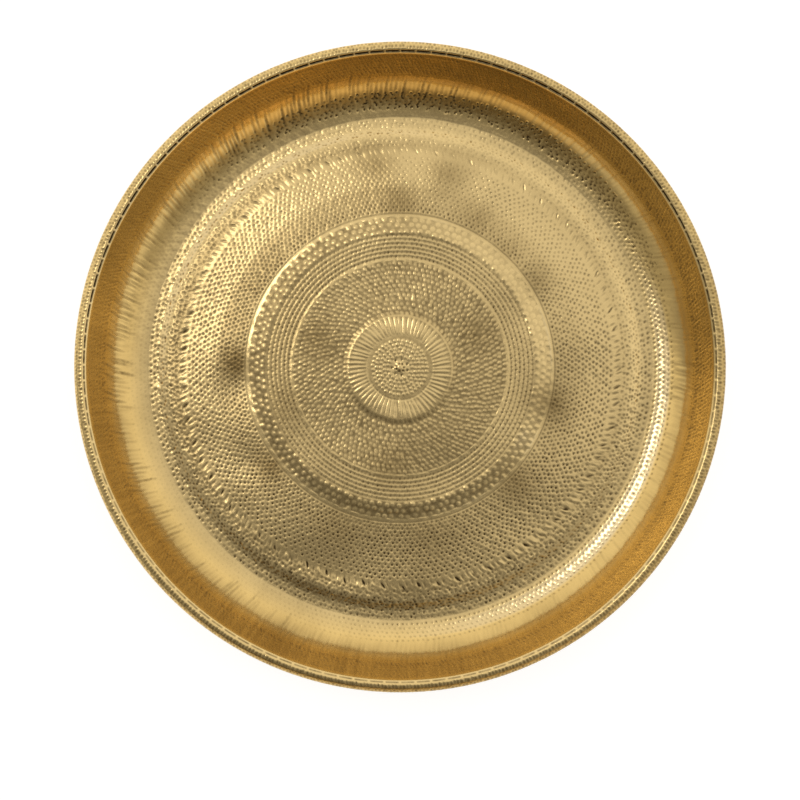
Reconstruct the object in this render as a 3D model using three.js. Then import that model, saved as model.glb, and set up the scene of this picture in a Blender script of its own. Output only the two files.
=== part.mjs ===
// A round hammered brass tray: one pressed sheet whose edge is rolled over a stiffening wire.
// Millimetres, +Z up. The origin is the centre of the foot ring, on the surface the tray stands on.
import * as THREE from "three";

const radians = THREE.MathUtils.degToRad;

// Overall sizes
const OUTER_DIAMETER = 300; // over the rolled bead
const HEIGHT = 28; // from the table to the top of the bead

// Sheet, wire and the bead that the sheet makes round the wire
const SHEET = 1;
const WIRE_DIAMETER = 4;
const WIRE_CLEARANCE = 0.3; // between the wire and the sheet, all round
const WIRE_BUTT_GAP = 1; // between the two ends of the wire, which is bent to a ring
const SEAM_GAP = 0.6; // between the rolled edge and the back of the wall

// Wall and foot
const WALL_ANGLE = radians(64); // from the horizontal
const FILLET_RADIUS = 20.5; // inside, between foot and wall
const FOOT_WIDTH = 4; // flat ring that the tray stands on

// Levels pressed into the floor. A slope is the ring where the sheet drops to the next level out.
const PLATEAU_RISE = 1.3; // of the plateau's outer edge above the foot
const PLATEAU_SLOPE = 6.5;
const PLATEAU_FALL = 1; // from the foot of the disc's slope out to the plateau's edge
const DISC_RADIUS = 71.5; // outer edge of the slope round the central disc
const DISC_SLOPE = 8;
const DISC_RISE = 0.9;
const ROSETTE_RADIUS = 26.5;
const ROSETTE_SLOPE = 2.5;
const ROSETTE_RISE = 0.4;
const BOSS_RADIUS = 3.2;
const BOSS_RISE = 0.5;

// Facets
const ROUND_SEGMENTS = 64; // round the tray
const SLOPE_STEPS = 3;
const FILLET_STEP = radians(9);
const CURL_STEP = radians(22.5); // divides a quarter turn, so the bead's top and side are exact
const WIRE_SIDES = 12;

// Worked out from the sizes above. The middle line is the line halfway through the sheet.
const wireRadius = WIRE_DIAMETER / 2;
const curlRadius = wireRadius + WIRE_CLEARANCE + SHEET / 2;
const beadRadius = curlRadius + SHEET / 2;
const bead = new THREE.Vector2(OUTER_DIAMETER / 2 - beadRadius, HEIGHT - beadRadius);
const footLevel = SHEET / 2;
const filletRadius = FILLET_RADIUS + SHEET / 2;
const footOuter = filletCentre();
const footInner = footOuter - FOOT_WIDTH;

// The radius at which the fillet starts, so that a straight wall joins it to the bead.
function filletCentre() {
  const wallTop = bead.clone().addScaledVector(upward(WALL_ANGLE), curlRadius);
  const filletTop = footLevel + filletRadius * (1 - Math.cos(WALL_ANGLE));
  const wallRun = (wallTop.y - filletTop) / Math.tan(WALL_ANGLE);
  return wallTop.x - wallRun - filletRadius * Math.sin(WALL_ANGLE);
}

// The sheet's upper normal where it climbs outwards at this angle.
function upward(angle) {
  return new THREE.Vector2(-Math.sin(angle), Math.cos(angle));
}

// A level's slope on the middle line, as an S-curve that falls by rise from inner to outer.
function slope(inner, outer, low, rise) {
  const points = [];
  for (let i = 0; i <= SLOPE_STEPS; i++) {
    const turn = (Math.PI * i) / SLOPE_STEPS;
    const angle = -Math.atan(((rise * Math.PI) / (2 * (outer - inner))) * Math.sin(turn));
    const r = inner + ((outer - inner) * i) / SLOPE_STEPS;
    points.push({ at: new THREE.Vector2(r, low + (rise * (1 + Math.cos(turn))) / 2), angle });
  }
  return points;
}

// The sheet bent at one radius from one angle to another. The facets meet at multiples of the step.
// A positive radius bends over its centre, and a negative one bends under it.
function bend(centre, radius, from, to, step) {
  const low = Math.ceil(Math.min(from, to) / step + 0.2);
  const high = Math.floor(Math.max(from, to) / step - 0.2);
  const between = [];
  for (let i = low; i <= high; i++) {
    between.push(i * step);
  }
  if (to < from) {
    between.reverse();
  }
  return [from, ...between, to].map((angle) => {
    return { at: centre.clone().addScaledVector(upward(angle), radius), angle };
  });
}

function fillet() {
  const centre = new THREE.Vector2(footOuter, footLevel + filletRadius);
  return bend(centre, -filletRadius, 0, WALL_ANGLE, FILLET_STEP);
}

// The roll over the wire, from the top of the wall round to the seam at the back of it.
function curl() {
  const shortOfFull = Math.acos((curlRadius - SHEET / 2 - SEAM_GAP) / beadRadius);
  const turned = 2 * Math.PI - shortOfFull;
  return bend(bead, curlRadius, WALL_ANGLE, WALL_ANGLE - turned, CURL_STEP);
}

// The middle line from the axis to the rolled edge.
function middleLine() {
  const plateau = footLevel + PLATEAU_RISE + PLATEAU_FALL;
  const disc = plateau + DISC_RISE;
  const rosette = disc + ROSETTE_RISE;
  return [
    ...slope(0, BOSS_RADIUS, rosette, BOSS_RISE),
    ...slope(ROSETTE_RADIUS - ROSETTE_SLOPE, ROSETTE_RADIUS, disc, ROSETTE_RISE),
    ...slope(DISC_RADIUS - DISC_SLOPE, DISC_RADIUS, plateau, DISC_RISE),
    ...slope(footInner - PLATEAU_SLOPE, footInner, footLevel, PLATEAU_RISE),
    ...fillet(),
    ...curl(),
  ];
}

// One side of the sheet: the middle line moved along its normal.
function skin(line, distance) {
  return line.map(({ at, angle }) => at.clone().addScaledVector(upward(angle), distance));
}

function trayPan() {
  const line = middleLine();
  const profile = [...skin(line, -SHEET / 2), ...skin(line, SHEET / 2).reverse()];
  const geometry = new THREE.LatheGeometry(profile, ROUND_SEGMENTS);
  geometry.rotateX(Math.PI / 2); // a lathe turns about Y, and the tray about Z
  const brass = new THREE.MeshStandardMaterial({ color: 0xc9a562, roughness: 0.28, metalness: 1 });
  const pan = new THREE.Mesh(geometry, brass);
  pan.name = "tray_pan";
  return pan;
}

// The wire's centre line, a ring that stops short of closing.
class WireRing extends THREE.Curve {
  getPoint(t, target = new THREE.Vector3()) {
    const gap = WIRE_BUTT_GAP / bead.x;
    const turn = gap / 2 + (2 * Math.PI - gap) * t;
    return target.set(bead.x * Math.cos(turn), bead.x * Math.sin(turn), bead.y);
  }
}

function rimWire() {
  const section = new THREE.Shape().absarc(0, 0, wireRadius, 0, 2 * Math.PI);
  const geometry = new THREE.ExtrudeGeometry(section, {
    curveSegments: WIRE_SIDES / 2, // three.js makes two sides of a round for each of these
    steps: ROUND_SEGMENTS,
    extrudePath: new WireRing(),
  });
  const steel = new THREE.MeshStandardMaterial({ color: 0x8c8f92, roughness: 0.45, metalness: 1 });
  const wire = new THREE.Mesh(geometry, steel);
  wire.name = "rim_wire";
  return wire;
}

const tray = new THREE.Group();
tray.add(trayPan(), rimWire());

export default tray;
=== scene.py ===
# The looks of a round hammered brass tray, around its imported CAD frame. Metres, +Z up.
import math
from functools import partial
import bpy
import numpy as np
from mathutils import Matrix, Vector


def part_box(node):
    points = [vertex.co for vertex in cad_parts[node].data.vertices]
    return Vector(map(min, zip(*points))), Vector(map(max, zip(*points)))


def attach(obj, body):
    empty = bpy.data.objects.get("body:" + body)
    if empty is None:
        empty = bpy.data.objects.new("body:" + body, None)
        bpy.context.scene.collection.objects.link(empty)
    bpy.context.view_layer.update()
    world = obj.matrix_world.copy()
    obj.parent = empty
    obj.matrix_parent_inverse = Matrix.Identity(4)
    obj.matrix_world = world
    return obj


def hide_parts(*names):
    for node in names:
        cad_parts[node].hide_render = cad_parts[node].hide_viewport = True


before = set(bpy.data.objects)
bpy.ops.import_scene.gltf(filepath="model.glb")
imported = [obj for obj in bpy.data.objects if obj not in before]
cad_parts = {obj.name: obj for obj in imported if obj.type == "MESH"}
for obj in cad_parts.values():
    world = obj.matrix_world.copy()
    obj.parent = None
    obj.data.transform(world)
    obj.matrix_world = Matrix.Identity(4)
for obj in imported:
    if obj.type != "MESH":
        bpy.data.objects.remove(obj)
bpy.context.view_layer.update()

MM = 0.001

# ---------------------------------------------------------------- sizes of the tray, in millimetres
low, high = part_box("tray_pan")
OUTER_RADIUS = (high.x - low.x) / 2 / MM
HEIGHT = high.z / MM
wire_low, wire_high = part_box("rim_wire")
WIRE_RADIUS = (wire_high.z - wire_low.z) / 2 / MM

# The rest are the CAD's own sizes.
SHEET = 1.0
WIRE_CLEARANCE = 0.3
SEAM_GAP = 0.6
WALL_ANGLE = math.radians(64)
FILLET_RADIUS = 20.5
FOOT_WIDTH = 4.0

# Levels of the floor: the outer edge of the slope round each, its width, and the drop. The
# plateau's slope ends at the foot ring, and the boss is all slope.
PLATEAU_SLOPE, PLATEAU_RISE, PLATEAU_FALL = 6.5, 1.3, 1.0
DISC_RADIUS, DISC_SLOPE, DISC_RISE = 71.5, 8.0, 0.9
ROSETTE_RADIUS, ROSETTE_SLOPE, ROSETTE_RISE = 26.5, 2.5, 0.4
BOSS_RADIUS, BOSS_RISE = 3.2, 0.5

# Worked out from the sizes above, for the line halfway through the sheet
curl_radius = WIRE_RADIUS + WIRE_CLEARANCE + SHEET / 2
bead_radius = curl_radius + SHEET / 2
bead_at = (OUTER_RADIUS - bead_radius, HEIGHT - bead_radius)
fillet_radius = FILLET_RADIUS + SHEET / 2
wall_top = (
    bead_at[0] - curl_radius * math.sin(WALL_ANGLE),
    bead_at[1] + curl_radius * math.cos(WALL_ANGLE),
)
fillet_top_height = SHEET / 2 + fillet_radius * (1 - math.cos(WALL_ANGLE))
wall_run = (wall_top[1] - fillet_top_height) / math.tan(WALL_ANGLE)
foot_outer = wall_top[0] - wall_run - fillet_radius * math.sin(WALL_ANGLE)
foot_inner = foot_outer - FOOT_WIDTH
curl_turn = 2 * math.pi - math.acos((curl_radius - SHEET / 2 - SEAM_GAP) / bead_radius)

# ---------------------------------------------------------------- fineness of the mesh
MOST_COLUMNS = 1440
TOP_STEP = 0.42
WALL_STEP = 0.5
BEAD_STEP = 0.25
UNDER_STEP = 0.7
MAP_RADIUS = 0.2925  # of each side's disc on the map: two such discs fill a square's diagonal

MARKS_BELOW = 0.6  # how much of a mark's depth shows on the lower side
TONE_BELOW = 0.6  # of the lower side, on the scale that tone() gives


def middle_line():
    """The line halfway through the sheet, in fine steps: path length, radius, height, slope."""
    step = 0.05
    r = np.arange(0, foot_outer, step)
    z = np.full_like(r, SHEET / 2)
    for outer, width, rise in (
        (foot_inner, PLATEAU_SLOPE, PLATEAU_RISE),
        (DISC_RADIUS, DISC_SLOPE, DISC_RISE),
        (ROSETTE_RADIUS, ROSETTE_SLOPE, ROSETTE_RISE),
        (BOSS_RADIUS, BOSS_RADIUS, BOSS_RISE),
    ):
        part = np.clip((r - outer + width) / width, 0, 1)
        z += rise * (1 + np.cos(np.pi * part)) / 2
    plateau_edge = foot_inner - PLATEAU_SLOPE
    z += PLATEAU_FALL * np.clip((plateau_edge - r) / (plateau_edge - DISC_RADIUS), 0, 1)
    slope = np.arctan(np.gradient(z, step))
    turn = np.arange(0, WALL_ANGLE, step / fillet_radius)
    fillet = (
        foot_outer + fillet_radius * np.sin(turn),
        SHEET / 2 + fillet_radius * (1 - np.cos(turn)),
        turn,
    )
    part = np.arange(0, 1, step * math.cos(WALL_ANGLE) / wall_run)
    wall = (
        wall_top[0] - wall_run * (1 - part),
        fillet_top_height + (wall_top[1] - fillet_top_height) * part,
        np.full_like(part, WALL_ANGLE),
    )
    turn = WALL_ANGLE - np.arange(0, curl_turn, step / curl_radius)
    curl = (
        bead_at[0] - curl_radius * np.sin(turn),
        bead_at[1] + curl_radius * np.cos(turn),
        turn,
    )
    r, z, slope = (np.concatenate(a) for a in zip((r, z, slope), fillet, wall, curl))
    path = np.concatenate(([0], np.cumsum(np.hypot(np.diff(r), np.diff(z)))))
    return path, r, z, slope


LINE_PATH, LINE_RADIUS, LINE_HEIGHT, LINE_SLOPE = middle_line()


def path_at(radius):
    """Path length at a radius, inside the widest part of the bead."""
    widest = int(np.argmax(LINE_RADIUS))
    return float(np.interp(radius, LINE_RADIUS[:widest], LINE_PATH[:widest]))


foot_path = path_at(foot_outer)
wall_path = path_at(wall_top[0] - wall_run)
bead_path = path_at(wall_top[0])
end_path = float(LINE_PATH[-1])


# ---------------------------------------------------------------- relief, in millimetres
def bump(distance):
    """A round bump, 1 at its middle and 0 from distance 1 outwards."""
    return np.clip(1 - distance * distance, 0, 1) ** 2


def band(path, inner, outer, edge):
    """1 between two path lengths, falling to 0 over edge at each side."""
    part = np.clip(np.minimum(path - inner, outer - path) / edge + 0.5, 0, 1)
    return part * part * (3 - 2 * part)


def marks(path, radius, theta, inner, outer, rows, count, depth, width, length, lean=0.0,
          ragged=0.12, uneven=0.3, ball=False, seed=0):
    """Hammer marks in staggered rings between two path lengths. Depth below 0 stands up.

    Each is soft-edged, or with ball it is the dish of a ball, which meets its neighbours in ridges.
    """
    rng = np.random.default_rng(seed)
    pitch = (outer - inner) / rows
    row_at = (path - inner) / pitch - 0.5
    row = np.clip(np.round(row_at), 0, rows - 1).astype(int)
    col_at = theta * count / (2 * np.pi) - 0.5 * (row % 2)
    col = np.round(col_at).astype(int)
    spot = (row, col % count)
    aside = rng.uniform(-ragged, ragged, (rows, count))[spot]
    out = rng.uniform(-ragged, ragged, (rows, count))[spot]
    force = rng.uniform(1 - uneven, 1, (rows, count))
    x = (col_at - col - aside) * 2 * np.pi * radius / count
    y = (row_at - row - out) * pitch
    across = (x * math.cos(lean) - y * math.sin(lean)) / width
    along = (x * math.sin(lean) + y * math.cos(lean)) / length
    away = np.hypot(across, along)
    dish = np.clip(1 - away * away, 0, 1) if ball else bump(away)
    return -depth * force[spot] * dish


def toward(theta, azimuth, reach=0.3):
    """1 on the side of the tray at this azimuth, in degrees, and 0 on the far side.

    Reach above 0 makes that side wider. Below 0 it makes it narrower and weaker.
    """
    return np.clip(reach + np.cos(theta - math.radians(azimuth)), 0, 1)


def grooves(path, places, width, depth):
    """Rings pressed into the sheet, or raised where depth is below 0."""
    total = np.zeros_like(path)
    for place in places:
        total = total - depth * bump((path - place) / width)
    return total


def swells(x, y, seed, waves, shortest, longest, slope):
    """Soft unevenness of hand-beaten sheet: waves that run every way, each of about that slope."""
    rng = np.random.default_rng(seed)
    total = np.zeros_like(x)
    for _ in range(waves):
        heading = rng.uniform(0, 2 * np.pi)
        wavelength = rng.uniform(shortest, longest)
        phase = rng.uniform(0, 2 * np.pi)
        along = x * math.cos(heading) + y * math.sin(heading)
        total += wavelength / (2 * np.pi) * np.sin(2 * np.pi * along / wavelength + phase)
    return total * slope / math.sqrt(waves)


# Rings of the floor, as radii
BOSS_EDGE = 4.7
ROSETTE_DOTS = 15.2
ROSETTE_EDGE = 24.8
DOTS_EDGE = 50.8
LINES_EDGE = 63.2
BEADS_EDGE = 71.3
PITS_EDGE = 100.0
STROKES_EDGE = 104.6
LIP_EDGE = foot_inner - PLATEAU_SLOPE

bead_top = bead_path + curl_radius * WALL_ANGLE  # path length at the highest point of the bead

TICKS = 72  # round the plateau
DASHES = 128  # round the bead


def floor_relief(path, radius, theta):
    """The hammered pattern of the floor, ring by ring from the centre out."""
    ring = partial(marks, path, radius, theta)
    total = ring(0.9, BOSS_EDGE, 2, 7, depth=0.17, width=0.95, length=0.95, seed=1)

    # Raised dots, one ring at a time, then raised petals between two plain lines
    for row, place in enumerate(np.arange(BOSS_EDGE + 1, ROSETTE_DOTS - 0.8, 1.75)):
        count = int(2 * np.pi * place / 2.0)
        total += ring(place - 0.85, place + 0.85, 1, count, depth=-0.11, width=0.95, length=0.95,
                      lean=0.4, ball=True, seed=10 + row)
    total += grooves(path, (ROSETTE_DOTS + 0.2, ROSETTE_EDGE + 0.2), width=0.6, depth=0.03)
    total += ring(ROSETTE_DOTS + 0.2, ROSETTE_EDGE, 1, 64, depth=-0.13, width=0.95, length=5.0,
                  lean=0.1, ragged=0.1, uneven=0.4, ball=True, seed=20)

    # Raised dots of the disc, in three zones with more round each ring farther out, and a ring of
    # raised strokes that lie along their edge
    for zone, (inner, outer, count) in enumerate(
        ((ROSETTE_EDGE, 33.5, 70), (33.5, 41.6, 100), (41.6, DOTS_EDGE - 0.6, 126))
    ):
        total += ring(inner, outer, 4, count, depth=-0.1, width=0.95, length=1.35, lean=0.45,
                      ragged=0.17, uneven=0.5, ball=True, seed=30 + zone)
    total += ring(DOTS_EDGE - 0.7, DOTS_EDGE + 0.7, 1, 60, depth=-0.12, width=3.4, length=0.65,
                  uneven=0.5, seed=35)

    # Ring lines with dots across them, then raised beads, strokes along their edge and a line
    lines = np.arange(DOTS_EDGE + 1.6, LINES_EDGE - 0.6, 2.03)
    total += grooves(path, lines, width=0.8, depth=0.07)
    total += ring(DOTS_EDGE + 0.6, LINES_EDGE - 0.2, 6, 164, depth=0.07, width=0.75, length=1.0,
                  uneven=0.6, seed=40)
    total += ring(LINES_EDGE, BEADS_EDGE, 3, 124, depth=-0.17, width=1.6, length=1.5, ragged=0.18,
                  uneven=0.5, seed=50)
    total += ring(BEADS_EDGE - 0.6, BEADS_EDGE + 0.8, 1, 84, depth=-0.1, width=3.3, length=0.7,
                  ragged=0.14, uneven=0.5, seed=55)
    total += grooves(path, (BEADS_EDGE + 1.6,), width=0.6, depth=0.08)

    # Pits of the plateau, long ones round them, and deep ticks with the metal raised beside each
    total += ring(BEADS_EDGE + 2.2, PITS_EDGE, 16, 216, depth=0.14, width=1.0, length=0.92,
                  lean=0.5, ragged=0.16, uneven=0.45, seed=60)
    total += ring(PITS_EDGE, STROKES_EDGE, 1, 216, depth=0.13, width=0.75, length=2.4, lean=0.3,
                  ragged=0.15, seed=70)
    total += ring(PITS_EDGE + 0.6, STROKES_EDGE + 0.4, 1, TICKS, depth=0.28, width=0.8, length=2.5,
                  lean=0.6, ragged=0.2, uneven=0.6, seed=75)
    total += toward(theta, 235, 0.5) * marks(
        path, radius, theta + 0.03, PITS_EDGE + 1, STROKES_EDGE + 1, 1, TICKS, depth=-0.2,
        width=1.0, length=2.2, lean=0.6, ragged=0.2, uneven=0.6, seed=76)

    # Rough dots from there down to the foot ring and across it
    total += ring(STROKES_EDGE, LIP_EDGE, 2, 290, depth=0.16, width=1.0, length=1.1, ragged=0.3,
                  uneven=0.6, seed=80)
    total += ring(LIP_EDGE, foot_inner, 5, 340, depth=0.2, width=1.0, length=0.9, lean=0.4,
                  ragged=0.3, uneven=0.7, seed=90)
    total += ring(foot_inner, foot_outer, 2, 290, depth=0.14, width=0.95, length=1.1, ragged=0.2,
                  uneven=0.6, seed=100)
    return total


def wall_relief(path, radius, theta):
    """Dots and rough marks on the curve, slanting strokes up the wall, and dimples on the bead."""
    ring = partial(marks, path, radius, theta)
    total = (0.25 + 0.75 * toward(theta, 330, 0)) * ring(
        foot_path + 0.8, foot_path + 11, 5, 330, depth=0.17, width=0.85, length=0.85, lean=0.3,
        ragged=0.1, uneven=0.4, seed=110)

    # Long ripples, which lean a little, and rough marks on one side of the curve
    sheared = theta + (path - foot_path - 17) * 0.0016
    total += (0.35 + 0.65 * toward(theta, 165)) * marks(
        path, radius, sheared, foot_path + 9, wall_path + 1, 1, 380, depth=0.15, width=1.0,
        length=8.0, ragged=0.25, uneven=0.8, ball=True, seed=120)
    total += toward(theta, 80, -0.3) * ring(
        foot_path + 4, foot_path + 13, 6, 260, depth=0.55, width=1.05, length=0.8, lean=0.8,
        ragged=0.35, uneven=0.8, seed=125)

    # Slanting strokes that grow fainter up the wall, over fine dimples
    fade = np.clip((bead_path - path) / (bead_path - wall_path), 0.45, 1)
    total += fade * ring(
        wall_path + 1, bead_path - 0.6, 5, 480, depth=0.15, width=0.75, length=2.4, lean=0.35,
        ragged=0.25, uneven=0.6, ball=True, seed=130)
    total += ring(wall_path - 2, bead_path - 0.6, 8, 600, depth=0.1, width=0.7, length=0.85,
                  ragged=0.25, uneven=0.6, seed=135)

    # The bead: dimples over its top, and a groove that short bridges break into dashes
    total += ring(bead_top - 0.5, bead_top + 4.9, 3, 560, depth=0.12, width=0.85, length=0.95,
                  ragged=0.2, ball=True, seed=140)
    turn = theta * DASHES / (2 * np.pi)
    bridges = bump((turn - np.round(turn)) / 0.14)
    dashes = grooves(path, (bead_top - 1.45,), width=0.65, depth=0.42) * (1 - bridges)
    return total + dashes * (0.25 + 0.75 * toward(theta, 95, 0.2))


def relief(path, radius, theta):
    """All the hammering, as a height on the side that faces up."""
    return np.where(
        path < foot_path, floor_relief(path, radius, theta), wall_relief(path, radius, theta)
    )


def hollow_dirt_and_shade(path, theta, hammered):
    """How far a place lies below the tops of the hammering round it, which sets how much dark
    tarnish it holds, with painted shade over that.

    The painted shade makes the hollows darker toward the near side of the outer floor and lighter
    toward its far side, darker on the far side of the curve and wall, and lighter on the right of
    the ring of beads. It runs from 0 to 1.5, and up to 2 where the painted shade is near black: on
    the far side of the curve, in the bead's groove on the far side, and on the near side of the
    outer floor.
    """
    tops = 0.06 * band(path, BOSS_EDGE, ROSETTE_DOTS, 0.5)
    tops += 0.065 * band(path, ROSETTE_DOTS + 0.8, ROSETTE_EDGE - 0.6, 0.8)
    tops += 0.085 * band(path, ROSETTE_EDGE + 0.3, DOTS_EDGE - 0.6, 0.5)
    # Painted light: the hollows of the ring of beads hold less on the right, so that side looks
    # lighter.
    tops += (0.09 - 0.06 * toward(theta, 30, 0)) * band(path, LINES_EDGE, BEADS_EDGE, 0.5)
    depth = 0.08 + 0.06 * band(path, PITS_EDGE, foot_inner, 2)
    depth += 0.04 * band(path, foot_path + 13, bead_path, 4)
    # Painted shade: darker hollows toward the near side of the outer floor, lighter toward its far
    # side, and darker ones on the far side of the curve and wall.
    painted_shade = 1 + 0.6 * np.cos(theta - math.radians(265)) * band(path, 78, foot_path + 2, 6)
    painted_shade += 1.1 * toward(theta, 65, 0) * band(path, foot_path + 4, bead_path, 3)
    # Painted shade, near black: on the far side of the curve, in the bead's groove on the far side,
    # and on the near side of the outer floor.
    black = toward(theta, 80, -0.3) * band(path, foot_path + 4, foot_path + 13, 2)
    black += toward(theta, 95, 0.2) * band(path, bead_top - 2.6, bead_top - 0.4, 0.5)
    black += 0.6 * toward(theta, 265, 0) * band(path, 78, foot_inner, 6)
    return np.clip(painted_shade * (tops - hammered - 0.01) / depth, 0, 1.5 + 0.5 * black)


# Slight dents and raised places from use: azimuth, radius, size, and depth in millimetres
DENTS = (
    (92, 93, 8, -0.45),
    (77, 92, 9, -0.50),
    (62, 98, 7, -0.40),
    (340, 73, 9, 0.50),
    (25, 64, 9, 0.45),
    (187, 78, 7, 0.40),
    (212, 83, 6, 0.35),
    (128, 60, 11, -0.45),
    (290, 52, 12, 0.35),
    (10, 95, 12, -0.35),
    (245, 88, 10, -0.30),
)


# Clouded patches, and with strength below 0 painted highlights: azimuth, radius, size, strength
PATCHES = (
    (179, 77, 5, 0.55),
    (347, 73, 7, 0.55),
    (315, 77, 7, 0.50),
    (217, 76, 6, 0.60),
    (33, 77, 6, 0.40),
    (48, 76, 6, 0.35),
    (62, 80, 6, 0.45),
    (24, 40, 7, 0.45),
    (161, 41, 7, 0.40),
    (97, 96, 7, 0.50),
    (76, 94, 7, 0.55),
    (90, 78, 6, 0.45),
    (250, 82, 11, 0.35),
    (280, 84, 11, 0.30),
    (262, 46, 8, 0.35),
    (112, 52, 8, -0.15),
    (330, 56, 8, -0.15),
    (200, 58, 9, 0.25),
)


def soft_places(x, y, places):
    """Round places with soft edges, each from its azimuth, radius, size and strength."""
    total = np.zeros_like(x)
    for azimuth, radius, size, strength in places:
        angle = math.radians(azimuth)
        away = np.hypot(x - radius * math.cos(angle), y - radius * math.sin(angle))
        total += strength * np.exp(-0.5 * (away / size) ** 2)
    return total


def unevenness(path, radius, theta):
    """Slow waves and dents of the sheet, and the crease where it leaves the foot ring.

    Both sides share these, but the foot ring itself stays true.
    """
    x, y = radius * np.cos(theta), radius * np.sin(theta)
    floor = swells(x, y, 5, 9, 30, 70, slope=math.radians(1.0)) - soft_places(x, y, DENTS)
    floor = floor * band(path, -20, LIP_EDGE - 4, 8)
    wall = swells(x, y, 6, 8, 24, 60, slope=math.radians(1.2))

    # The curve starts with a sharper bend than its radius, which is made up for farther up.
    climb = np.clip((path - foot_path) / 3, 0, 1)
    crease = 0.21 * climb * (2 - climb) * np.clip((24 - path + foot_path) / 12, 0, 1)

    fine = swells(x, y, 7, 12, 2.5, 6, slope=math.radians(1.3)) * band(path, -20, bead_path - 3, 4)
    rough = toward(theta, 235) * band(path, STROKES_EDGE - 2, foot_inner, 2)
    fine += rough * swells(x, y, 8, 14, 1.6, 3.0, slope=math.radians(6))
    return floor + crease + fine + wall * band(path, foot_path + 6, bead_path - 3, 8)


def goldness(path):
    """0 on the floor, where the brass looks pale, 1 up the curve and wall, and paler on the bead."""
    places = (foot_path, foot_path + 10, bead_path, bead_path + 2, bead_path + 5, end_path)
    return np.interp(path, places, (0, 1, 1, 0.2, 0.6, 1))


def tone(path, theta):
    """How dark the metal is painted: 0 is polished, 1 is brown, and below 0 it is pale.

    It follows the listed levels ring by ring, with clouded patches, a pale ring round the ring of
    beads, and painted shade and painted highlights that change round the tray.
    """
    ring_tones = (
        (0, 0.0),
        (23, 0.0),
        (24.5, 0.45),
        (26.5, 0.45),
        (28, 0.22),
        (50, 0.25),
        (62, 0.2),
        (66, 0.0),
        (71, 0.0),
        (74, 0.3),
        (84, 0.2),
        (90, 0.0),
        (STROKES_EDGE - 3, 0.1),
        (STROKES_EDGE + 1, 0.35),
        (LIP_EDGE + 1, 0.0),
        (foot_path, 0.25),
        (foot_path + 14, 0.1),
        (wall_path + 2, 0.55),
        (bead_path, 0.55),
        (bead_path + 1, -0.2),
        (bead_path + 4, 0.3),
        (bead_path + 6, 0.7),
        (end_path, 0.9),
    )
    places, levels = zip(*ring_tones)

    # Painted shade and painted light on the curve and wall: darker toward the near left and lighter
    # toward the far right, darker on the right, paler high on the wall toward the near right, and
    # darker in two bands low on the far side.
    wall = 0.45 * np.cos(theta - math.radians(240)) * band(path, foot_path + 12, bead_path, 6)
    wall += 0.9 * toward(theta, 12, -0.6) * band(path, foot_path + 12, bead_path + 3, 4)
    wall -= 0.9 * toward(theta, 330, -0.8) * band(path, wall_path + 2, bead_path, 3)
    wall += 0.65 * toward(theta, 100, 0) * band(path, foot_path + 6, foot_path + 12.5, 3)
    wall += 0.3 * toward(theta, 90, 0) * band(path, foot_path + 13, foot_path + 18, 2)
    # Painted shade and painted light on the outer side of the bead: darker toward the near right,
    # paler toward the far left.
    bead = 0.4 * np.cos(theta - math.radians(320)) * band(path, bead_path + 4, end_path, 2)

    x, y = path * np.cos(theta), path * np.sin(theta)
    floor = 1.7 * soft_places(x, y, PATCHES) * (path < foot_path)
    # Painted shade: parts of the floor are darker on the left: the outer floor, the bands in dull,
    # the inner ring of the plateau and the ring of lines.
    floor += 0.3 * toward(theta, 170, 0) * band(path, 74, foot_path, 6)
    dull = band(path, STROKES_EDGE - 1, LIP_EDGE + 1, 2) + band(path, LINES_EDGE + 1, BEADS_EDGE, 2)
    floor += 0.4 * toward(theta, 150, 0) * dull
    floor += 0.45 * toward(theta, 137, -0.2) * band(path, BEADS_EDGE + 2, 86, 3)
    floor += 0.55 * toward(theta, 165, -0.3) * band(path, DOTS_EDGE, LINES_EDGE, 3)

    # A pale ring round the ring of beads, and painted highlights: pale on the left of the plateau's
    # outer slope, and low on the curve toward the near right.
    pale_and_painted_highlight = -0.15 * band(path, BEADS_EDGE - 0.4, BEADS_EDGE + 0.8, 0.8)
    pale_and_painted_highlight -= 0.6 * toward(theta, 150, -0.2) * band(path, LIP_EDGE + 2, foot_inner, 2)
    pale_and_painted_highlight -= 0.9 * toward(theta, 330, -0.3) * band(path, foot_path + 2, foot_path + 9, 3)
    return np.interp(path, places, levels) + wall + bead + floor + pale_and_painted_highlight


# ---------------------------------------------------------------- the mesh
def columns(side, place, radius):
    """Steps round a ring: more on the wall and bead, and fewer towards the centre."""
    if side > 0 and foot_path + 12 < place < bead_path + 9:
        return MOST_COLUMNS * 2
    for edge, divisor in ((44, 1), (22, 2), (11, 4), (5.5, 8)):
        if radius > edge:
            return MOST_COLUMNS // divisor
    return MOST_COLUMNS // 16


def paths(start, stop, step):
    """Path lengths from start to stop, evenly spaced and at most a step apart."""
    return np.linspace(start, stop, int(math.ceil((stop - start) / step)) + 1)


def rings():
    """Every ring of vertices from the top centre, over the bead and back to the centre below.

    Each is its side, 1 above and -1 below, its path length and the number of its vertices.
    """
    upper = np.concatenate((
        paths(0.4, foot_path, TOP_STEP)[:-1],
        paths(foot_path, bead_path, WALL_STEP)[:-1],
        paths(bead_path, bead_path + 9, BEAD_STEP)[:-1],
        paths(bead_path + 9, end_path, WALL_STEP),
    ))
    under = np.concatenate(
        (paths(0.8, foot_path, UNDER_STEP)[:-1], paths(foot_path, end_path, UNDER_STEP))
    )[::-1]
    made = []
    for side, places in ((1, upper), (-1, under)):
        for place in places:
            radius = np.interp(place, LINE_PATH, LINE_RADIUS)
            made.append((side, place, columns(side, place, radius)))
    return made


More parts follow.
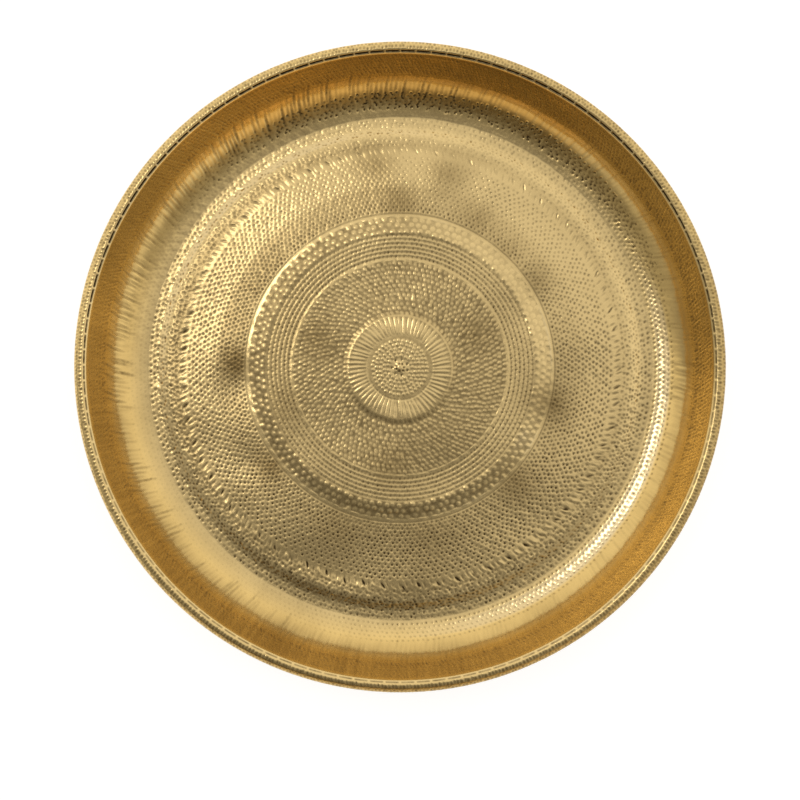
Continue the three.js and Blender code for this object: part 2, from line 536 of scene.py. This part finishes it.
def ring_points(side, place, count):
    """A ring's vertices, their looks (hollow, tone and gold) and their places on the map."""
    theta = np.arange(count) * 2 * np.pi / count
    path = np.full(count, place)
    radius = np.full(count, np.interp(place, LINE_PATH, LINE_RADIUS))
    height = np.interp(place, LINE_PATH, LINE_HEIGHT)
    slope = np.interp(place, LINE_PATH, LINE_SLOPE)
    hammered = relief(path, radius, theta)
    shows = 1.0 if side > 0 else MARKS_BELOW
    offset = side * SHEET / 2 + hammered * shows
    offset += unevenness(path, radius, theta)
    if side < 0:  # the foot ring and the inside of the bead stay true
        offset = offset + (-SHEET / 2 - offset) * true_share(place)
    r = radius - math.sin(slope) * offset
    z = np.maximum(height + math.cos(slope) * offset, 0)  # nothing dips below the table
    points = np.stack((r * np.cos(theta), r * np.sin(theta), z), 1)

    # Tarnish in the hollows, with painted shade on some sides; the lower side gets none
    hollow_and_shade = hollow_dirt_and_shade(path, theta, hammered) if side > 0 else np.zeros(count)
    dark = tone(path, theta) if side > 0 else np.full(count, TONE_BELOW)
    looks = np.stack((hollow_and_shade, dark, np.full(count, goldness(place))), 1)
    spread = MAP_RADIUS * place / (end_path + 2 * SHEET)
    centre = MAP_RADIUS if side > 0 else 1 - MAP_RADIUS
    spots = np.stack((centre + spread * np.cos(theta), centre + spread * np.sin(theta)), 1)
    return points * MM, looks, spots


def true_share(place):
    """1 where the lower side is kept true to its size: on the foot ring and within the bead."""
    foot = band(place, foot_path - FOOT_WIDTH - 1, foot_path + 4, 2)
    return max(foot, float(place > bead_path))


def join(first, first_count, second, second_count):
    """The faces between two rings whose counts are equal, double or half: quads and triangles."""
    j = np.arange(min(first_count, second_count))
    k = (j + 1) % len(j)
    if first_count == second_count:
        return np.stack((first + j, second + j, second + k, first + k), 1), []
    if second_count > first_count:
        a, b, c = second + 2 * j, second + 2 * j + 1, second + (2 * j + 2) % second_count
        parts = (first + j, a, b), (first + j, b, first + k), (first + k, b, c)
    else:
        a, b, c = first + 2 * j, first + 2 * j + 1, first + (2 * j + 2) % first_count
        parts = (a, second + j, b), (b, second + j, second + k), (b, second + k, c)
    return [], np.concatenate([np.stack(part, 1) for part in parts])


def fan(centre, start, count):
    """The triangles from a centre vertex to the ring round it."""
    j = np.arange(count)
    k = (j + 1) % count
    return np.stack((np.full_like(j, centre), start + j, start + k), 1)


def sheet_faces(made, starts, last):
    """All the faces: those of the cut edge at the seam, the other quads, and the triangles."""
    quads, triangles = [], []
    for i in range(len(made) - 1):
        (side, _, count), (next_side, _, next_count) = made[i : i + 2]
        four, three = join(starts[i], count, starts[i + 1], next_count)
        if side != next_side:
            edge_quads = four
        elif len(four):
            quads.append(four)
        else:
            triangles.append(three)
    triangles.append(fan(0, starts[0], made[0][2]))
    triangles.append(fan(last, starts[-1], made[-1][2])[:, (0, 2, 1)])
    return edge_quads, np.concatenate(quads), np.concatenate(triangles)


def tray_mesh():
    """The whole sheet as one closed mesh, with a map for baking its looks."""
    made = rings()
    top_height = np.interp(0, LINE_PATH, LINE_HEIGHT) + SHEET / 2
    places = [np.array([[0, 0, top_height * MM]])]
    looks = [np.zeros((1, 3))]
    spots = [np.full((1, 2), MAP_RADIUS)]
    starts, total = [], 1
    for side, place, count in made:
        points, look, spot = ring_points(side, place, count)
        places.append(points)
        looks.append(look)
        spots.append(spot)
        starts.append(total)
        total += count
    places.append(np.array([[0, 0, (top_height - SHEET) * MM]]))
    looks.append(np.array([[0, TONE_BELOW, 0]]))
    spots.append(np.full((1, 2), 1 - MAP_RADIUS))
    vertices = np.concatenate(places).astype(np.float32)
    looks = np.concatenate(looks).astype(np.float32)
    spots = np.concatenate(spots)

    edge_quads, other_quads, triangles = sheet_faces(made, starts, total)
    quads = np.concatenate((edge_quads, other_quads))
    corners = np.concatenate((quads.ravel(), triangles.ravel())).astype(np.int32)
    sizes = np.concatenate((np.full(len(quads), 4), np.full(len(triangles), 3)))
    mesh = bpy.data.meshes.new("tray_pan_hammered")
    mesh.vertices.add(len(vertices))
    mesh.vertices.foreach_set("co", vertices.ravel())
    mesh.loops.add(len(corners))
    mesh.loops.foreach_set("vertex_index", corners)
    mesh.polygons.add(len(sizes))
    firsts = np.concatenate(([0], np.cumsum(sizes)[:-1])).astype(np.int32)
    mesh.polygons.foreach_set("loop_start", firsts)
    mesh.update(calc_edges=True)
    mesh.polygons.foreach_set("use_smooth", np.ones(len(sizes), bool))
    for name, values in zip(("hollow_and_shade", "tone", "gold"), looks.T):
        attribute = mesh.attributes.new(name, "FLOAT", "POINT")
        attribute.data.foreach_set("value", np.ascontiguousarray(values))

    # The cut edge is mapped as one more ring round the lower side.
    corner_spots = spots[corners]
    edge_corners = corners[: edge_quads.size]
    on_top = np.flatnonzero(edge_corners < edge_quads[:, 1].min())
    from_centre = spots[edge_corners[on_top]] - MAP_RADIUS
    corner_spots[on_top] = 1 - MAP_RADIUS + from_centre * (end_path + SHEET) / end_path
    layer = mesh.uv_layers.new(name="OFBake")
    layer.data.foreach_set("uv", corner_spots.astype(np.float32).ravel())
    mesh.validate()
    return mesh


# ---------------------------------------------------------------- materials
class Nodes:
    """Short ways to build a material's node tree."""

    def __init__(self, name):
        self.material = bpy.data.materials.new(name)
        self.material.use_nodes = True
        self.tree = self.material.node_tree
        self.shader = self.tree.nodes["Principled BSDF"]

    def put(self, socket, value):
        if isinstance(value, bpy.types.NodeSocket):
            self.tree.links.new(value, socket)
        elif isinstance(value, tuple) and len(socket.default_value) == 4:
            socket.default_value = (*value, 1)
        else:
            socket.default_value = value

    def make(self, kind, **inputs):
        node = self.tree.nodes.new("ShaderNode" + kind)
        for name, value in inputs.items():
            self.put(node.inputs[name.replace("_", " ")], value)
        return node

    def math(self, operation, *values):
        node = self.make("Math")
        node.operation = operation
        for socket, value in zip(node.inputs, values):
            self.put(socket, value)
        return node.outputs[0]

    def clamped(self, operation, *values):
        total = self.math(operation, *values)
        total.node.use_clamp = True
        return total

    def mix(self, factor, a, b):
        node = self.make("Mix")
        node.data_type = "RGBA"
        self.put(node.inputs["Factor"], factor)
        self.put(node.inputs["A"], a)
        self.put(node.inputs["B"], b)
        return node.outputs["Result"]

    def span(self, value, low, high, to_low, to_high):
        node = self.make("MapRange", Value=value)
        node.inputs["From Min"].default_value = low
        node.inputs["From Max"].default_value = high
        node.inputs["To Min"].default_value = to_low
        node.inputs["To Max"].default_value = to_high
        return node.outputs["Result"]

    def attribute(self, name):
        node = self.make("Attribute")
        node.attribute_name = name
        return node.outputs["Fac"]

    def noise(self, where, scale, detail, roughness, distortion=0.0):
        node = self.make("TexNoise", Vector=where, Scale=scale, Detail=detail, Roughness=roughness,
                         Distortion=distortion)
        return node.outputs["Fac"]

    def finish(self, **inputs):
        for name, value in inputs.items():
            self.put(self.shader.inputs[name.replace("_", " ")], value)
        return self.material


def brass_material():
    """Old brass: brown in the hollows and up the wall, clouded, streaked and pale in places, with
    painted shade and painted highlights brought in by the mesh's attributes.
    """
    n = Nodes("hammered_brass")
    where = n.make("TexCoord").outputs["Object"]
    hollow_and_shade, darkness, gold = n.attribute("hollow_and_shade"), n.attribute("tone"), n.attribute("gold")

    # The direction from the tray's axis, so that noise on it makes streaks that run outwards
    flat = n.make("VectorMath")
    flat.operation = "MULTIPLY"
    n.put(flat.inputs[0], where)
    flat.inputs[1].default_value = (1, 1, 0)
    outwards = n.make("VectorMath")
    outwards.operation = "NORMALIZE"
    n.put(outwards.inputs[0], flat.outputs[0])
    streaks = n.noise(outwards.outputs[0], 80, detail=4, roughness=0.6)
    clouds = n.noise(where, 22, detail=3, roughness=0.5, distortion=0.6)
    stains = n.noise(where, 75, detail=4, roughness=0.6, distortion=0.4)
    grain = n.noise(where, 900, detail=2, roughness=0.6)
    specks = n.noise(where, 420, detail=3, roughness=0.7)

    # From polished to brown, by the tone with its painted shade, and by streaks, clouds and stains
    streaked = n.math("MULTIPLY", darkness, n.span(streaks, 0.35, 0.65, -0.2, 0.2))
    cloudy = n.span(clouds, 0.3, 0.7, -0.14, 0.14)
    stained = n.span(stains, 0.3, 0.7, -0.1, 0.1)
    aged_and_shaded = n.math("ADD", n.math("ADD", darkness, streaked), n.math("ADD", cloudy, stained))
    aged_and_shaded = n.clamped("MULTIPLY", aged_and_shaded, 0.62)
    polished = n.mix(gold, (0.95, 0.70, 0.315), (0.98, 0.68, 0.25))
    brown = n.mix(gold, (0.30, 0.20, 0.075), (0.29, 0.175, 0.05))
    colour = n.mix(aged_and_shaded, polished, brown)

    # Pale where the tone is below 0, which holds painted highlights, and dark with tarnish and
    # painted shade in the hollows
    pale_and_painted_highlight = n.clamped("MULTIPLY", darkness, n.span(stains, 0.3, 0.7, -1.2, -0.8))
    colour = n.mix(pale_and_painted_highlight, colour, (0.98, 0.86, 0.62))
    hollow_and_shade_specked = n.math("MULTIPLY", hollow_and_shade, n.span(specks, 0.35, 0.65, 0.55, 1.0))
    dirt_and_shade = n.clamped("MULTIPLY", hollow_and_shade_specked, n.span(gold, 0, 1, 0.8, 0.5))
    colour = n.mix(dirt_and_shade, colour, (0.11, 0.072, 0.028))
    # Near black where the painted shade is darkest
    colour = n.mix(n.span(hollow_and_shade, 1.5, 1.9, 0, 0.85), colour, (0.025, 0.016, 0.008))

    dulled = n.math("ADD", n.span(darkness, 0, 1, 0.13, 0.26), n.span(grain, 0.3, 0.7, -0.03, 0.05))
    roughness = n.math("ADD", dulled, n.math("MULTIPLY", hollow_and_shade_specked, 0.2))
    pores = n.math("ADD", n.math("MULTIPLY", grain, 0.4), n.math("MULTIPLY", specks, 0.6))
    bump = n.make("Bump", Strength=0.35, Distance=0.00012, Height=pores)
    normal = bump.outputs["Normal"]
    return n.finish(Base_Color=colour, Metallic=1.0, Roughness=roughness, Normal=normal)


def steel_material():
    """Drawn steel wire: grey, dulled in patches, with a fine grain."""
    n = Nodes("wire_steel")
    where = n.make("TexCoord").outputs["Object"]
    dull = n.noise(where, 60, detail=4, roughness=0.6)
    grain = n.noise(where, 1400, detail=2, roughness=0.6)
    colour = n.mix(n.span(dull, 0.35, 0.7, 0, 1), (0.52, 0.52, 0.52), (0.26, 0.24, 0.21))
    patchy = n.span(dull, 0.3, 0.7, 0.34, 0.5)
    roughness = n.math("ADD", patchy, n.span(grain, 0.3, 0.7, 0, 0.08))
    bump = n.make("Bump", Strength=0.3, Distance=0.00008, Height=grain)
    normal = bump.outputs["Normal"]
    return n.finish(Base_Color=colour, Metallic=1.0, Roughness=roughness, Normal=normal)


# ---------------------------------------------------------------- the object
pan = bpy.data.objects.new("hammered_pan", tray_mesh())
bpy.context.scene.collection.objects.link(pan)
pan.data.materials.append(brass_material())
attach(pan, "root")
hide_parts("tray_pan")

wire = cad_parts["rim_wire"]
wire.data.materials.clear()
wire.data.materials.append(steel_material())


# ---------------------------------------------------------------- floor, light and camera
def make_floor():
    bpy.ops.mesh.primitive_plane_add(size=6, location=(0, 0, 0))
    floor = bpy.context.object
    floor.name = "floor"
    pale = Nodes("pale_floor").finish(
        Base_Color=(0.35, 0.35, 0.35), Roughness=0.7, Emission_Color=(1, 1, 1),
        Emission_Strength=0.85)
    floor.data.materials.append(pale)


def direction(azimuth, from_zenith):
    """A unit vector from two angles in degrees."""
    a, t = math.radians(azimuth), math.radians(from_zenith)
    return Vector((math.cos(a) * math.sin(t), math.sin(a) * math.sin(t), math.cos(t)))


def make_world():
    """A soft studio: most of the light comes from the far side of the room, beyond the tray."""
    world = bpy.data.worlds.new("studio")
    bpy.context.scene.world = world
    world.use_nodes = True
    nodes, link = world.node_tree.nodes, world.node_tree.links.new
    background = nodes["Background"]
    where = nodes.new("ShaderNodeTexCoord").outputs["Generated"]

    def glow(towards, start, stop, low, high):
        """Low rising to high as the cosine of the angle to a direction goes from start to stop."""
        dot = nodes.new("ShaderNodeVectorMath")
        dot.operation = "DOT_PRODUCT"
        dot.inputs[1].default_value = towards
        link(where, dot.inputs[0])
        ramp = nodes.new("ShaderNodeMapRange")
        ramp.interpolation_type = "SMOOTHSTEP"
        ramp.inputs["From Min"].default_value = start
        ramp.inputs["From Max"].default_value = stop
        ramp.inputs["To Min"].default_value = low
        ramp.inputs["To Max"].default_value = high
        link(dot.outputs["Value"], ramp.inputs["Value"])
        return ramp.outputs["Result"]

    def combine(operation, a, b):
        total = nodes.new("ShaderNodeMath")
        total.operation = operation
        link(a, total.inputs[0])
        link(b, total.inputs[1])
        return total.outputs[0]

    # The bright far side, the dim near one, and a dim patch straight overhead
    bright = glow(direction(262, 90), -0.05, 0.12, 0.53, 0.16)
    overhead = glow(direction(0, 0), 0.99, 0.999, 0, -0.1)
    bright = combine("ADD", bright, overhead)

    # A wide glow from the far side, a brighter patch high on the left, and a fill on the right
    side = glow(direction(188, 42), 0.8, 1.0, 0, 0.16)
    wide = combine("ADD", glow(direction(95, 90), -0.8, 0.8, -0.07, 0.31), side)
    fill = glow(direction(325, 60), 0.5, 1.0, 0.0, 0.28)

    # More light low in front, which the wall reflects, and all of it warmer there
    near_horizon = glow(direction(0, 0), 0.2, 0.6, 1, 0)
    front = combine("MULTIPLY", near_horizon, glow(direction(275, 90), -0.2, 0.8, 0, 0.5))
    total = combine("ADD", combine("ADD", bright, wide), combine("ADD", fill, front))
    link(total, background.inputs["Strength"])
    tint = nodes.new("ShaderNodeMix")
    tint.data_type = "RGBA"
    tint.inputs["A"].default_value = (1.0, 0.985, 0.96, 1)
    tint.inputs["B"].default_value = (1.0, 0.78, 0.48, 1)
    link(glow(direction(272, 75), 0.6, 0.92, 0, 1), tint.inputs["Factor"])
    link(tint.outputs["Result"], background.inputs["Color"])


def soft_light(name, azimuth, from_zenith, distance, size, power):
    """A round area light that faces the middle of the tray."""
    lamp = bpy.data.lights.new(name, "AREA")
    lamp.shape = "DISK"
    lamp.size = size
    lamp.energy = power
    thing = bpy.data.objects.new(name, lamp)
    towards = direction(azimuth, from_zenith)
    thing.location = towards * distance
    thing.rotation_euler = towards.to_track_quat("Z", "Y").to_euler()
    bpy.context.scene.collection.objects.link(thing)


def make_camera():
    """A long lens almost straight above the tray, a little in front of it."""
    elevation, distance = math.radians(87), 1.025
    rim = Vector((0, 0, 0.025))
    camera = bpy.data.cameras.new("camera")
    camera.lens = 100.25
    camera.sensor_width = 36
    thing = bpy.data.objects.new("camera", camera)
    thing.location = rim + distance * Vector((0, -math.cos(elevation), math.sin(elevation)))
    aim = rim + Vector((0, -0.016, 0))
    thing.rotation_euler = (aim - thing.location).to_track_quat("-Z", "Y").to_euler()
    bpy.context.scene.collection.objects.link(thing)
    bpy.context.scene.camera = thing


make_floor()
make_world()
soft_light("soft_key", azimuth=146, from_zenith=19, distance=1.6, size=0.39, power=0.82)
make_camera()
bpy.context.scene.view_settings.view_transform = "Standard"
